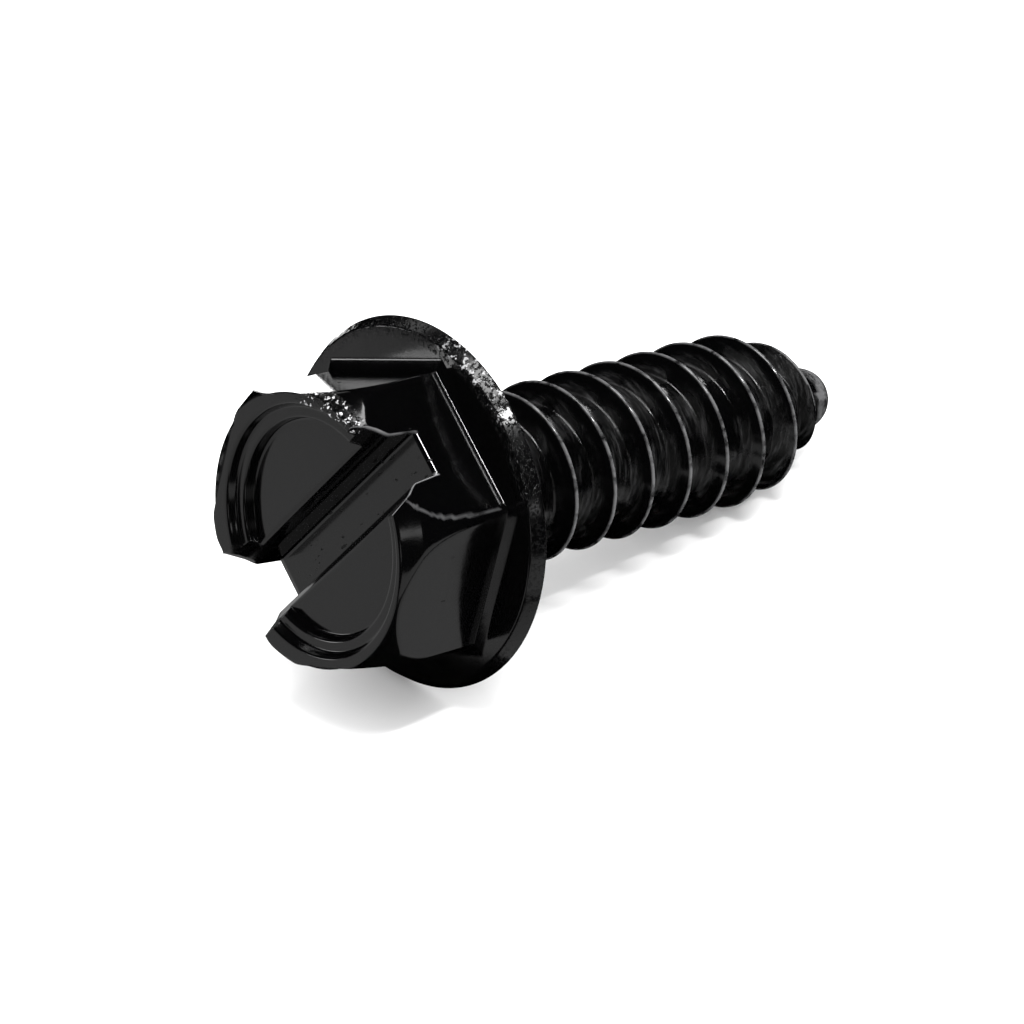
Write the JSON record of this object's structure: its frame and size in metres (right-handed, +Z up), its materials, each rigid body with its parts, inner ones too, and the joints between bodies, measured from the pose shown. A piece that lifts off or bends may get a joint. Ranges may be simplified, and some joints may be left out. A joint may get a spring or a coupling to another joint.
{
  "type": "sheet metal screw",
  "caption": "Black slotted hex washer head sheet metal screw with a dished head, a coarse right-hand thread and a blunt point, lying on its washer rim and thread.",
  "frame": {"origin": "on the floor that the screw lies on, under the middle of its bounding box", "axes": "+X runs from the head to the point, which dips towards the floor, and +Z is up"},
  "size_m": [0.0248, 0.013, 0.0126],
  "materials": {
    "black_coat": "gloss"
  },
  "bodies": {
    "root": {"screw": "black_coat"}
  },
  "joints": []
}
